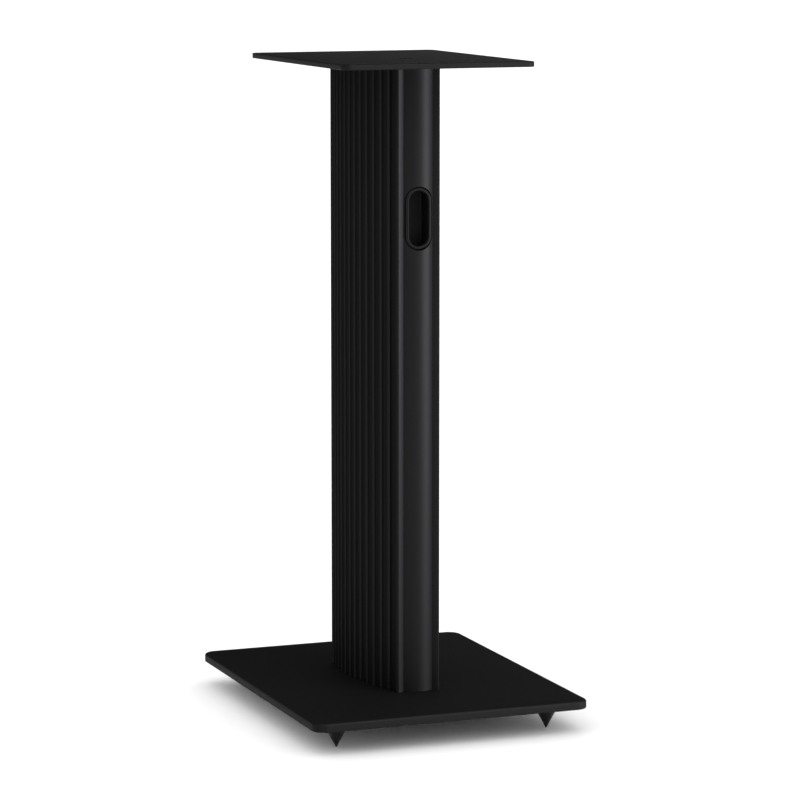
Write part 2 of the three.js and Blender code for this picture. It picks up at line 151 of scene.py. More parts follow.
# ---- flanks: flute axes on an arc about (FLANK_X, FLANK_WIDEST_Y) ----
REAR_FLUTE_SETBACK = 12.3  # corner's centre to the nearest flute's axis, along Y
FRONT_FLUTE_SETBACK = 10.0  # at least, since the flutes are evenly spaced
REAR_FLUTE_Y = REAR_FLUTE_SETBACK - CORNER_Y
FRONT_FLUTE_Y = CORNER_Y - FRONT_FLUTE_SETBACK
REAR_FLUTE_ANGLE = math.asin((REAR_FLUTE_Y - FLANK_WIDEST_Y) / FLANK_RADIUS)
FRONT_FLUTE_ANGLE = math.asin((FRONT_FLUTE_Y - FLANK_WIDEST_Y) / FLANK_RADIUS)
FLANK_X = REAR_FLUTE_X - FLANK_RADIUS * math.cos(REAR_FLUTE_ANGLE)
FLUTE_ANGLE = FLUTE_PITCH / FLANK_RADIUS
FLUTE_COUNT = int((FRONT_FLUTE_ANGLE - REAR_FLUTE_ANGLE) / FLUTE_ANGLE) + 1

# ---- cable exit bush ----
EXIT_WALL = 1.2
EXIT_FLANGE_WIDTH = 2.4
EXIT_FLANGE_THICKNESS = 1.5
EXIT_ROUND = 0.3
EXIT_STRAIGHT = 6.0
EXIT_RADIUS = BUSH_HIGH[1] - BUSH_MIDDLE[1] - EXIT_FLANGE_WIDTH

# ---- spikes and inserts ----
CORNERS = ("rear_left", "rear_right", "front_left", "front_right")
SPIKE_SHOULDER = BASE_LOW[2] - FIT_GAP
SPIKE_TIP_RADIUS = 0.6  # that the cone would have at the floor
SPIKE_TIP_ROUND = 0.7
SPIKE_RIM = 0.6  # height of the rim with its chamfer, up to the shoulder
SPIKE_EDGE = 0.15
STUD_RADIUS = 4.0
STUD_ROOT = 3.4
STUD_END_RADIUS = 3.3
STUD_PITCH = 1.25
THREAD_RUNOUT = 0.5  # plain end of a stud or an insert's bore
INSERT_BORE = STUD_RADIUS + FIT_GAP
INSERT_ROOT = 4.7
INSERT_CHAMFER = 0.5
INSERT_COLLAR = 0.4
KNURL_COUNT = 30
KNURL_DEPTH = 0.2
KNURL_POINTS = 6 * KNURL_COUNT

# ---- screws and washers ----
SHANK_RADIUS = 3.0
SHANK_ROOT = 2.45
SHANK_POINT = 2.3
SHANK_POINT_LENGTH = 0.7
SHANK_PITCH = 1.0
SCREW_BORE = SHANK_RADIUS + FIT_GAP
SINK_HEIGHT = 3.3
SINK_NECK = 0.7  # thread's end to a countersunk head's cone
SINK_RIM = 0.15
SINK_EDGE_WIDTH = 0.1
SINK_EDGE_DEPTH = 0.08
CAP_HEIGHT = 6.0
CAP_CHAMFER = 0.5
CAP_EDGE = 0.2
CAP_GRIP = 8.0  # head's seat to the first turn of thread
CAP_RELIEF = 0.4  # shank's step down before that turn
SOCKET_RADIUS = 2.3
SOCKET_APOTHEM = SOCKET_RADIUS * math.cos(math.pi / 6)
SOCKET_FLOOR = 0.4  # radius of the floor's inner ring, as a share of the socket's
SOCKET_CONE = 0.4  # depth of that ring past the sides' end
SOCKET_POINT = 0.6  # depth of the middle past it
SINK_SOCKET_DEPTH = 2.0
SINK_LEAD_IN = 0.25
CAP_SOCKET_DEPTH = 3.2
CAP_LEAD_IN = 0.3
WASHER_ROUND = 0.2

# ---- studio, in metres apart from the camera's aim and lens ----
CAMERA_TURN = math.radians(21.18)
CAMERA_TILT = math.radians(8.272)
CAMERA_AIM = (8.85, -3.22, 295.4)
CAMERA_LENS = 158.27
CAMERA_BACK = 3.3188  # distance from the aim
CAMERA_REACH = 500.0
FLOOR_REACH = 60.0
MIDDLE_HEIGHT = 0.31  # point of the stand that the lamps face
DOME_LEVEL = 1.35
GLOSS_LEVELS = (  # sine of the elevation, brightness
    (0.0, 1.0), (0.01, 0.3), (0.07, 0.25), (0.16, 0.03), (1.0, 0.03),
)


# ---- outlines in the plan ----
def arc(x, y, radius, start, end, steps):
    """Points (x + r cos t, y + r sin t) with t running evenly from start to end."""
    t = np.linspace(start, end, steps + 1)
    return np.column_stack((x + radius * np.cos(t), y + radius * np.sin(t)))


def rounded_rectangle(width, depth, radius, steps=14):
    """Four quarter circles about the corners' centres, anticlockwise, joined by straight sides."""
    x, y = width / 2 - radius, depth / 2 - radius
    centres = ((x, y), (-x, y), (-x, -y), (x, -y))
    quarters = [
        arc(cx, cy, radius, i * TURN / 4, (i + 1) * TURN / 4, steps)
        for i, (cx, cy) in enumerate(centres)
    ]
    return np.vstack(quarters)


def stadium(radius, straight, steps=24):
    """Two half circles, straight apart along the second axis, anticlockwise."""
    upper = arc(0, straight / 2, radius, 0, math.pi, steps)
    return np.vstack((upper, -upper))


def mirrored(right):
    """A right half, from rear to front, and its mirror image in x = 0 on the way back."""
    left = right[::-1] * (-1, 1)
    return np.vstack((right, left))


# ---- column outline ----
def flank_half_width(y, radius):
    """Half width at y of a circle of that radius about the flank's centre."""
    return FLANK_X + np.sqrt(radius**2 - (y - FLANK_WIDEST_Y) ** 2)


def flute_section():
    """One flute in its own axes, across the land and outwards.

    A circle of the flute's radius R about the origin meets the land's line v = 0 through two
    circles of the rounding's radius r. Each touches both, so its centre is at v = -r and at a
    distance R + r from the origin, and the flute's arc is cut short by asin(r / (R + r)).
    """
    reach = FLUTE_RADIUS + LAND_ROUND
    trim = math.asin(LAND_ROUND / reach)
    centre = reach * math.cos(trim)
    rounding = arc(-centre, -LAND_ROUND, LAND_ROUND, math.pi / 2, trim, steps=3)
    floor = arc(0, 0, FLUTE_RADIUS, math.pi + trim, TURN - trim, steps=18)
    return np.vstack((rounding[:-1], floor, rounding[-2::-1] * (-1, 1)))


def flank():
    """The flute section set on the flank's arc at equal angles, rear to front.

    A point (u, v) of flute i goes to C + R n + u t + v n, with n = (cos a, sin a),
    t = (-sin a, cos a) and a = first angle + i * pitch / R.
    """
    u, v = flute_section().T
    angle = (REAR_FLUTE_ANGLE + FLUTE_ANGLE * np.arange(FLUTE_COUNT))[:, None]
    x = FLANK_X + (FLANK_RADIUS + v) * np.cos(angle) - u * np.sin(angle)
    y = FLANK_WIDEST_Y + (FLANK_RADIUS + v) * np.sin(angle) + u * np.cos(angle)
    return np.column_stack((x.ravel(), y.ravel()))


def end_face(way, crease_x):
    """Half an end face, from its middle outwards; way is -1 at the rear and 1 at the front.

    The crown is an arc whose radius is (c^2 + h^2) / 2h for a crease at c and a rise of h. The
    shoulder is a quadratic curve (1-t)^2 A + 2t(1-t) B + t^2 C up to the rounded corner.
    """
    radius = (crease_x**2 + CROWN_RISE**2) / (2 * CROWN_RISE)
    reach = math.asin(crease_x / radius)
    middle = way * TURN / 4
    crown = arc(0, way * (PEAK_Y - radius), radius, middle, middle - way * reach, steps=14)
    corner = arc(
        crease_x + SHOULDER_WIDTH, way * CORNER_Y, CORNER_RADIUS,
        middle + way * SHOULDER_LEAN, 0, steps=9,
    )
    half = (corner[0, 0] - crease_x) / 2
    control = np.array((crease_x + half, corner[0, 1] - way * half * math.tan(SHOULDER_LEAN)))
    t = np.linspace(0, 1, 8)[1:-1, None]
    shoulder = (1 - t) ** 2 * crown[-1] + 2 * t * (1 - t) * control + t**2 * corner[0]
    return np.vstack((crown, shoulder, corner))


def column_outline():
    """Rear face, right flank and front face, then the mirror image without the shared middles."""
    corner_x = flank_half_width(CORNER_Y, FLANK_RADIUS) + FRONT_FLARE - CORNER_RADIUS
    rear = end_face(-1, REAR_CREASE_X)
    front = end_face(1, corner_x - SHOULDER_WIDTH)
    right = np.vstack((rear, flank(), front[::-1]))
    return np.vstack((right, right[-2:0:-1] * (-1, 1)))


# ---- hollows of the column ----
def hollow_half_width(y):
    """Half width behind the flutes' floors at y."""
    return flank_half_width(y, FLANK_RADIUS - FLUTE_RADIUS - FLUTE_FLOOR_WALL)


def hollow_side(rear_y, front_y):
    """A bowed side wall with a quarter-round corner at each end."""
    r = HOLLOW_CORNER
    rear_x, front_x = hollow_half_width(np.array((rear_y + r, front_y - r)))
    y = np.linspace(rear_y + r, front_y - r, 16)
    return np.vstack((
        arc(rear_x - r, rear_y + r, r, -TURN / 4, 0, steps=5)[:-1],
        np.column_stack((hollow_half_width(y), y)),
        arc(front_x - r, front_y - r, r, 0, TURN / 4, steps=5)[1:],
    ))


def main_hollow():
    """Bowed sides between the webs, with a U-shaped screw boss standing on each web."""
    rear_boss = arc(0, -SCREW_Y, BOSS_RADIUS, TURN / 4, 0, steps=10)
    front_boss = arc(0, SCREW_Y, BOSS_RADIUS, 0, -TURN / 4, steps=10)
    return mirrored(np.vstack((
        rear_boss,
        (BOSS_RADIUS, -WEB_INNER_Y),
        hollow_side(-WEB_INNER_Y, WEB_INNER_Y),
        (BOSS_RADIUS, WEB_INNER_Y),
        front_boss,
    )))


def cable_channel():
    """A rounded rectangle behind the rear face."""
    outline = rounded_rectangle(
        2 * CHANNEL_HALF_WIDTH, -WEB_OUTER_Y - CHANNEL_REAR_Y, HOLLOW_CORNER / 2, steps=5
    )
    return outline + (0, (CHANNEL_REAR_Y - WEB_OUTER_Y) / 2)


def circle(y, radius):
    """A circle about (0, y), without its repeated last point."""
    return arc(0, y, radius, 0, TURN, steps=48)[:-1]


# ---- surfaces ----
def lofted(rings, heights=None, wrap=False):
    """A skin of quads over rings of equal point count, each ring closed on itself.

    Plan outlines take a height each. wrap joins the last ring to the first.
    """
    if heights is not None:
        rings = [
            np.column_stack((ring, np.full(len(ring), z))) for ring, z in zip(rings, heights)
        ]
    rings = np.asarray(rings)
    count, around = rings.shape[:2]
    ring = np.arange(count if wrap else count - 1)[:, None]
    point = np.arange(around)[None, :]
    here = ring * around
    above = (ring + 1) % count * around
    beside = (point + 1) % around
    quads = np.stack((here + point, here + beside, above + beside, above + point), axis=-1)
    return rings.reshape(-1, 3), quads.reshape(-1, 4).tolist()


def flat_face(loops, z):
    """A level face inside the first loop and outside the others, cut into triangles."""
    lifted = [np.column_stack((loop, np.full(len(loop), z))) for loop in loops]
    triangles = tessellate_polygon([loop.tolist() for loop in lifted])
    return np.vstack(lifted), [list(triangle) for triangle in triangles]


def revolved(radii, heights, around=64):
    """Points (r cos a, r sin a, z) over a profile of radii and heights.

    A row of radii may itself run over the angle, as on threads and sockets.
    """
    angle = np.arange(around) * TURN / around
    radius = np.stack([np.broadcast_to(row, around) for row in radii])
    height = np.broadcast_to(np.array(heights)[:, None], radius.shape)
    rings = np.stack((radius * np.cos(angle), radius * np.sin(angle), height), axis=-1)
    return lofted(rings)


def carried_round(radius, straight, profile):
    """A closed profile of (offset, height) points carried round a stadium."""
    rings = [stadium(radius + offset, straight) for offset, _ in profile]
    return lofted(rings, [height for _, height in profile], wrap=True)


def thread(crest, root, pitch, low, high, around=64):
    """Radii and heights of a screw thread from low to high.

    The radius swings between root and crest as a triangle wave of z / pitch - angle / turn, and
    fades to the root over half a pitch at both ends.
    """
    z = np.linspace(low, high, int((high - low) / pitch * 8) + 1)
    angle = np.arange(around) / around
    wave = 2 * np.abs((z[:, None] / pitch - angle) % 1 - 0.5)
    ends = np.clip(np.minimum(z - low, high - z) / (pitch / 2), 0, 1)[:, None]
    return list(root + (crest - root) * wave * ends), list(z)


def hexagon(around=64):
    """Radius to a hexagon's flats: apothem / cos of the angle to the nearest flat's middle."""
    angle = np.arange(around) * TURN / around
    return SOCKET_APOTHEM / np.cos((angle + TURN / 12) % (TURN / 6) - TURN / 12)


def moved(surface, x=0.0, y=0.0, z=0.0):
    """The same surface in another place."""
    points, faces = surface
    return points + (x, y, z), faces


def facing_rear(surface, y, z):
    """Turns a surface's height towards -Y and its second axis to Z, then sets its middle."""
    points, faces = surface
    turned = np.column_stack((points[:, 0], -points[:, 2], points[:, 1]))
    return turned + (0, y, z), faces


def mesh_of(name, surfaces):
    """Welds surfaces given in millimetres into one closed mesh with its faces outwards."""
    points, faces, start = [], [], 0
    for surface_points, surface_faces in surfaces:
        points.append(surface_points * MM)
        faces.extend([start + index for index in face] for face in surface_faces)
        start += len(surface_points)
    mesh = bpy.data.meshes.new(name)
    mesh.from_pydata(np.vstack(points), [], faces)
    skin = bmesh.new()
    skin.from_mesh(mesh)
    bmesh.ops.remove_doubles(skin, verts=skin.verts, dist=1e-6)
    bmesh.ops.recalc_face_normals(skin, faces=skin.faces)
    skin.to_mesh(mesh)
    skin.free()
    return mesh


def placed(name, mesh):
    """An object at the origin that shows a mesh."""
    thing = bpy.data.objects.new(name, mesh)
    bpy.context.scene.collection.objects.link(thing)
    return thing


def fitted(name, surfaces, node, finish, cutter=None):
    """A finished piece that stands in for a CAD node and moves with its body."""
    thing = placed(name, mesh_of(name, surfaces))
    if cutter:
        cut_away(thing, cutter)
    mesh = thing.data
    mesh.polygons.foreach_set("use_smooth", np.ones(len(mesh.polygons), bool))
    mesh.set_sharp_from_angle(angle=FLAT_LIMIT)
    slot, material = finish
    mesh.materials.clear()
    mesh.materials.append(material)
    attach(thing, frame["nodes"][node]["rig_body"])
    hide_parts(node)


def cut_away(thing, surfaces):
    """Takes a closed shape out of a piece and keeps the result as the piece's own mesh."""
    tool = placed("cutter", mesh_of("cutter", surfaces))
    cut = thing.modifiers.new("cut", "BOOLEAN")
    cut.operation = "DIFFERENCE"
    cut.solver = "EXACT"
    cut.object = tool
    depsgraph = bpy.context.evaluated_depsgraph_get()
    result = bpy.data.meshes.new_from_object(thing.evaluated_get(depsgraph))
    thing.modifiers.clear()
    thing.data = result
    bpy.data.objects.remove(tool)


# ---- finishes ----
def linear(code):
    """An sRGB hex colour as linear RGBA."""
    channels = np.array([int(code[i:i + 2], 16) for i in (1, 3, 5)]) / 255
    values = np.where(channels <= 0.04045, channels / 12.92, ((channels + 0.055) / 1.055) ** 2.4)
    return (*values.tolist(), 1.0)


def add(tree, kind, settings, inputs):
    """Adds a node, sets its properties, and fills its inputs with values or other nodes' outputs."""
    node = tree.nodes.new(kind)
    for name, value in settings.items():
        setattr(node, name, value)
    for name, value in inputs.items():
        if isinstance(value, bpy.types.NodeSocket):
            tree.links.new(value, node.inputs[name])
        else:
            node.inputs[name].default_value = value
    return node


def new_material(name):
    """An empty node material, its shader and its object coordinates."""
    material = bpy.data.materials.new(name)
    material.use_nodes = True
    tree = material.node_tree
    shader = tree.nodes["Principled BSDF"]
    place = add(tree, "ShaderNodeTexCoord", {}, {}).outputs["Object"]
    return material, tree, shader, place


def step(tree, value, start, end):
    """0 before start and 1 after end, both in millimetres, with a straight slope between."""
    return add(tree, "ShaderNodeMapRange", {}, {
        "Value": value, "From Min": start * MM, "From Max": end * MM,
    }).outputs["Result"]


def times(tree, one, other):
    """The product of two values."""
    return add(tree, "ShaderNodeMath", {"operation": "MULTIPLY"}, {0: one, 1: other}).outputs[0]


def blend(tree, factor, first, second):
    """The first colour where factor is 0 and the second where it is 1."""
    return add(tree, "ShaderNodeMix", {"data_type": "RGBA"}, {
        "Factor": factor, "A": first, "B": second,
    }).outputs["Result"]


def noise(tree, place, spacing, detail, **settings):
    """Noise between 0 and 1 whose features are that many millimetres apart."""
    return add(tree, "ShaderNodeTexNoise", {}, {
        "Vector": place, "Scale": 1 / (spacing * MM), "Detail": detail, **settings,
    }).outputs["Fac"]


def mixed(tree, share, first, second):
    """Two values or patterns in one, with that share of the second."""
    return add(tree, "ShaderNodeMix", {"data_type": "FLOAT"}, {
        "Factor": share, "A": first, "B": second,
    }).outputs["Result"]


def emboss(tree, shader, pattern, strength, depth):
    """Bump from a pattern, with a depth in millimetres."""
    bump = add(tree, "ShaderNodeBump", {}, {
        "Height": pattern, "Strength": strength, "Distance": depth * MM,
    })
    tree.links.new(bump.outputs["Normal"], shader.inputs["Normal"])


def dull(tree, shader, pattern, least, most):
    """Roughness that rises from least to most while the pattern goes from 0.3 to 0.7."""
    roughness = add(tree, "ShaderNodeMapRange", {}, {
        "Value": pattern, "From Min": 0.3, "From Max": 0.7, "To Min": least, "To Max": most,
    })
    tree.links.new(roughness.outputs["Result"], shader.inputs["Roughness"])


def paint(tree, shader, pattern, first, second):
    """Base colour between two sRGB codes, by a pattern."""
    colour = blend(tree, pattern, linear(first), linear(second))
    tree.links.new(colour, shader.inputs["Base Color"])


def satin_black_powder_coat():
    """Fine-textured polyester powder on steel, sprayed and stoved: a deep even black with a soft
    sheen that breaks up into a fine grain, over a broad, faint orange peel."""
    material, tree, shader, place = new_material("satin_black_powder_coat")
    # Grains of about 0.4 mm are drawn 1.3 mm apart, so that they show at this size.
    grain = noise(tree, place, spacing=1.3, detail=3.0, Roughness=0.6)
    peel = noise(tree, place, spacing=9.0, detail=1.0)
    emboss(tree, shader, mixed(tree, 0.35, grain, peel), strength=0.35, depth=0.12)
    paint(tree, shader, grain, "#0e0e0e", "#151515")
    dull(tree, shader, grain, least=0.56, most=0.7)
    shader.inputs["Specular IOR Level"].default_value = 0.1
    shader.inputs["Sheen Weight"].default_value = 0.026
    shader.inputs["Sheen Roughness"].default_value = 0.15
    return "powder_coat", material


def painted_light_and_shade_zones(tree, place):
    """Masks of the column: its flanks, the flutes in them, and the cable channel's front wall.

    A flute's depth is R - |(|x|, y) - C|, with R and C the radius and centre of the flank's arc.
    Its mask rises from 0.1 to 1 mm of depth, and falls again inside the wall behind it.
    All three paint light and shade into the colour: the flanks' lands are painted paler as
    painted light, the flutes painted darker as painted shade in the recesses, and the channel's
    front wall, seen through the cable entry, painted paler as painted light.
    """
    along = add(tree, "ShaderNodeSeparateXYZ", {}, {"Vector": place}).outputs
    across = add(tree, "ShaderNodeMath", {"operation": "ABSOLUTE"}, {0: along["X"]}).outputs[0]
    from_middle = add(tree, "ShaderNodeMath", {"operation": "ABSOLUTE"}, {0: along["Y"]}).outputs[0]
    plan = add(tree, "ShaderNodeCombineXYZ", {}, {"X": across, "Y": along["Y"]}).outputs[0]
    radius = add(tree, "ShaderNodeVectorMath", {"operation": "DISTANCE"}, {
        0: plan, 1: (FLANK_X * MM, FLANK_WIDEST_Y * MM, 0.0),
    }).outputs["Value"]
    flank = step(tree, from_middle, CORNER_Y - 1.2, CORNER_Y - 1.5)
    flute = times(
        tree,
        step(tree, radius, FLANK_RADIUS - 0.1, FLANK_RADIUS - 1.0),
        step(tree, radius, FLANK_RADIUS - 6.2, FLANK_RADIUS - 5.5),
    )
    channel = step(tree, across, CHANNEL_HALF_WIDTH + 0.5, CHANNEL_HALF_WIDTH + 0.2)
    behind = step(tree, along["Y"], WEB_REAR_Y - 0.4, WEB_REAR_Y - 0.2)
    rear = step(tree, along["Y"], 0.0, -0.2)
    return flank, flute, times(tree, times(tree, channel, behind), rear)


def black_anodised_extrusion():
    """Dyed anodised aluminium profile: a satin black that lights up along its length, with fine
    drawing lines from the die. The lands are painted paler as painted light, the flutes' floors
    painted darker as painted shade, and the cable channel's front wall painted paler as painted
    light."""
    material, tree, shader, place = new_material("black_anodised_extrusion")
    # Die lines of about 0.3 mm are drawn 0.8 mm apart, and run for about 200 mm along Z.
    drawn = add(tree, "ShaderNodeMapping", {"vector_type": "POINT"}, {
        "Vector": place, "Scale": (1.0, 1.0, 0.004),
    }).outputs["Vector"]
    lines = noise(tree, drawn, spacing=0.8, detail=2.0)
    # The etch before anodising leaves a fine matt grain.
    etch = noise(tree, place, spacing=0.9, detail=2.0)
    height = mixed(tree, 0.4, lines, etch)
    emboss(tree, shader, height, strength=0.3, depth=0.03)
    dull(tree, shader, height, least=0.42, most=0.52)
    flank, flute, wall = painted_light_and_shade_zones(tree, place)
    face = blend(tree, lines, linear("#1e1e1f"), linear("#222223"))
    # Painted light and shade: the lands are painted paler for the light on them, and the flutes'
    # floors darker for the shade in the recesses.
    ribs_painted_light_and_shade = blend(tree, flute, linear("#242425"), linear("#1b1b1c"))
    # Painted light: the cable channel's front wall, seen through the cable entry, is painted paler
    # for the light that falls in through the opening.
    colour = blend(tree, wall, blend(tree, flank, face, ribs_painted_light_and_shade), linear("#2a2a2c"))
    tree.links.new(colour, shader.inputs["Base Color"])
    shader.inputs["Metallic"].default_value = 0.5
    shader.inputs["Specular IOR Level"].default_value = 0.0
    shader.inputs["Specular Tint"].default_value = (0.3, 0.3, 0.3, 1.0)
    return "anodised", material


def moulded_black_plastic():
    """Injection-moulded ABS with an etched tool texture: a dull black with a fine satin grain."""
    material, tree, shader, place = new_material("moulded_black_plastic")
    # A spark-eroded grain of about 0.2 mm, drawn at 0.6 mm.
    grain = noise(tree, place, spacing=0.6, detail=2.0)
    emboss(tree, shader, grain, strength=0.3, depth=0.05)
    paint(tree, shader, grain, "#101011", "#171718")
    dull(tree, shader, grain, least=0.42, most=0.55)
    shader.inputs["Specular IOR Level"].default_value = 0.08
    return "black_plastic", material


def black_oxide_steel():
    """Turned steel, chemically blackened: a dark oily sheen over faint rings from the lathe."""
    material, tree, shader, place = new_material("black_oxide_steel")
    # Tool marks of about 0.15 mm are drawn 0.7 * TURN = 4.4 mm apart, so that they show at this
    # size. A band wave has 20 / TURN rings to a unit.
    rings = add(tree, "ShaderNodeTexWave", {"wave_type": "BANDS", "bands_direction": "Z"}, {
        "Vector": place, "Scale": 1 / (0.7 * MM) / 20, "Distortion": 0.3, "Detail": 1.0,
    }).outputs["Fac"]
    stain = noise(tree, place, spacing=3.0, detail=3.0)
    emboss(tree, shader, rings, strength=0.25, depth=0.04)
    paint(tree, shader, stain, "#262628", "#38383a")
    dull(tree, shader, stain, least=0.3, most=0.42)
    shader.inputs["Metallic"].default_value = 1.0
    return "black_steel", material


def zinc_plated_steel():
    """Bright zinc plating on machined steel: a cool grey metal with cloudy, slightly dull areas."""
    material, tree, shader, place = new_material("zinc_plated_steel")
    cloud = noise(tree, place, spacing=2.5, detail=3.0)
    emboss(tree, shader, cloud, strength=0.2, depth=0.03)
    paint(tree, shader, cloud, "#8b8d91", "#a9abae")
    dull(tree, shader, cloud, least=0.28, most=0.42)
    shader.inputs["Metallic"].default_value = 1.0
    return "zinc_steel", material


# ---- plates ----
def plate_edge(width, depth, low, high, corner, upper, lower):
    """The plate's rim: rounded rectangles drawn in by r (1 - cos a) and r (1 - sin a) at an edge."""
    angle = np.linspace(0, TURN / 4, 7)
    inset = np.concatenate((lower * (1 - np.cos(angle[::-1])), upper * (1 - np.cos(angle))))
    height = np.concatenate((
        low + lower * (1 - np.sin(angle[::-1])), high - upper * (1 - np.sin(angle)),
    ))
    rings = [
        rounded_rectangle(width - 2 * i, depth - 2 * i, corner - i) for i in inset
    ]
    return rings, list(height)


def base_plate(finish):
    """Plate with the cable slot, two screw holes and four blind holes for the inserts."""
    low, high = BASE_LOW[2], BASE_HIGH[2]
    rings, heights = plate_edge(
        BASE_HIGH[0] - BASE_LOW[0], BASE_HIGH[1] - BASE_LOW[1], low, high,
        BASE_CORNER_RADIUS, BASE_TOP_EDGE, BASE_LOWER_EDGE,
    )
    slot = stadium(EXIT_RADIUS + EXIT_WALL + FIT_GAP, EXIT_STRAIGHT)[:, ::-1]
    slot = slot + (0, BUSH_MIDDLE[1])
    holes = [slot, circle(-SCREW_Y, SCREW_BORE), circle(SCREW_Y, SCREW_BORE)]
    sockets, walls = [], [lofted([hole, hole], [low, high]) for hole in holes]
    for corner in CORNERS:
        _, insert_high, middle = size_of(f"insert_{corner}")
        radius = insert_high[0] - middle[0] + FIT_GAP
        socket = circle(0, radius) + middle[:2]
        floor = insert_high[2] + FIT_GAP
        sockets.append(socket)
        walls += [lofted([socket, socket], [low, floor]), flat_face([socket], floor)]
    upper = flat_face([rings[-1], *holes], high)
    lower = flat_face([rings[0], *holes, *sockets], low)
    fitted("base_plate_coated", [lofted(rings, heights), upper, lower, *walls],
           "base_plate", finish)


def top_plate(finish):
    """Plate with two countersunk holes on its centre line."""
    low, high = TOP_LOW[2], TOP_HIGH[2]
    rings, heights = plate_edge(
        TOP_HIGH[0] - TOP_LOW[0], TOP_HIGH[1] - TOP_LOW[1], low, high,
        TOP_CORNER_RADIUS, TOP_EDGE, TOP_EDGE,
    )
    head = size_of("top_screw_front")[1]
    sink = head[0] + FIT_GAP
    walls, wide, narrow = [], [], []
    for y in (-SCREW_Y, SCREW_Y):
        hole = [circle(y, r) for r in (SCREW_BORE, SCREW_BORE, sink, sink)]
        walls.append(lofted(hole, [low, head[2] - SINK_HEIGHT, head[2], high]))
        narrow.append(hole[0])
        wide.append(hole[-1])
    upper = flat_face([rings[-1], *wide], high)
    lower = flat_face([rings[0], *narrow], low)
    fitted("top_plate_coated", [lofted(rings, heights), upper, lower, *walls],
           "top_plate", finish)


# ---- column ----
def column(finish):
    """The extruded profile, sawn square at both ends, with the bezel's pocket milled in."""
    low, high = COLUMN_LOW[2], COLUMN_HIGH[2]
    loops = [
        column_outline(),
        cable_channel(),
        main_hollow(),
        mirrored(hollow_side(WEB_OUTER_Y, CREASE_Y - FRONT_WALL)),
        circle(-SCREW_Y, SCREW_BORE),
        circle(SCREW_Y, SCREW_BORE),
    ]
    walls = [lofted([loop, loop], [low, high]) for loop in loops]
    ends = [flat_face(loops, z) for z in (low, high)]
    narrow = stadium(ENTRY_RADIUS + SLEEVE_WALL + FIT_GAP, ENTRY_STRAIGHT)
    wide = stadium(BEZEL_HIGH[0] + PARTING_GAP, ENTRY_STRAIGHT)
    inner = -CHANNEL_REAR_Y - CUTTER_INNER_REACH
    outer = PEAK_Y + CUTTER_OUTER_REACH
    pocket = [
        lofted([narrow, narrow, wide, wide], [inner, -POCKET_FLOOR_Y, -POCKET_FLOOR_Y, outer]),
        flat_face([narrow], inner),
        flat_face([wide], outer),
    ]
    cutter = [facing_rear(surface, 0, BEZEL_MIDDLE[2]) for surface in pocket]
    fitted("column_extrusion", walls + ends, "column", finish, cutter)


def cable_bezel(finish):
    """Rounded flange with a raised lip round the mouth, and a sleeve down to the throat."""
    face = np.vstack((
        arc(BEZEL_WIDTH - BEZEL_ROUND, -LIP_RISE - BEZEL_ROUND, BEZEL_ROUND, 0, TURN / 4, steps=7),
        (LIP_WIDTH, -LIP_RISE),
        arc(LIP_WIDTH - LIP_OUTER_ROUND, -LIP_OUTER_ROUND, LIP_OUTER_ROUND, 0, TURN / 4, steps=4),
        arc(LIP_INNER_ROUND, -LIP_INNER_ROUND, LIP_INNER_ROUND, TURN / 4, TURN / 2, steps=5),
    ))
    back = FIT_GAP + BEZEL_LOW[1] - POCKET_FLOOR_Y
    depth = BEZEL_LOW[1] - BEZEL_HIGH[1]
    profile = [
        (0, depth + SLEEVE_CHAMFER), (SLEEVE_CHAMFER, depth),
        (SLEEVE_WALL - SLEEVE_CHAMFER, depth), (SLEEVE_WALL, depth + SLEEVE_CHAMFER),
        (SLEEVE_WALL, back), (BEZEL_WIDTH, back), *face.tolist(),
    ]
    ring = carried_round(ENTRY_RADIUS, ENTRY_STRAIGHT, profile)
    fitted("cable_bezel_moulding", [facing_rear(ring, BEZEL_LOW[1], BEZEL_MIDDLE[2])],
           "cable_bezel", finish)


def cable_exit_bush(finish):
    """Flanged bush carried round a stadium that lies along X."""
    height = BUSH_HIGH[2] - BUSH_LOW[2]
    soft = EXIT_ROUND
    edge = arc(EXIT_FLANGE_WIDTH - soft, soft, soft, -TURN / 4, 0, steps=4)
    profile = [
        (soft, 0), *edge.tolist(),
        (EXIT_FLANGE_WIDTH, EXIT_FLANGE_THICKNESS), (EXIT_WALL, EXIT_FLANGE_THICKNESS),
        (EXIT_WALL, height - soft), (EXIT_WALL - soft, height),
        (soft, height), (0, height - soft), (0, soft),
    ]
    points, faces = carried_round(EXIT_RADIUS, EXIT_STRAIGHT, profile)
    along_x = points[:, (1, 0, 2)]
    fitted("cable_exit_bush_moulding",
           [moved((along_x, faces), 0, BUSH_MIDDLE[1], BUSH_LOW[2])], "cable_exit_bush", finish)


# ---- spikes, inserts and screws ----
def spike(corner, finish):
    """Turned cone with a rounded tip, a plain rim and a threaded stud."""
    _, high, middle = size_of(f"spike_{corner}")
    radius = high[0] - middle[0]
    shoulder = SPIKE_SHOULDER
    rim = shoulder - SPIKE_RIM
    slope = math.atan2(radius - SPIKE_TIP_RADIUS, rim)
    tip = arc(0, SPIKE_TIP_ROUND, SPIKE_TIP_ROUND, -TURN / 4, -slope, steps=6)
    stud, turns = thread(STUD_RADIUS, STUD_ROOT, STUD_PITCH, shoulder, high[2] - THREAD_RUNOUT)
    radii = [*tip[:, 0], radius - SPIKE_EDGE, radius, radius, radius - 2 * SPIKE_EDGE,
             *stud, STUD_END_RADIUS, 0]
    heights = [*tip[:, 1], rim - SPIKE_EDGE, rim, shoulder - 2 * SPIKE_EDGE, shoulder,
               *turns, high[2], high[2]]
    surface = revolved(radii, heights)
    fitted(f"spike_{corner}_turned", [moved(surface, *middle[:2])], f"spike_{corner}", finish)


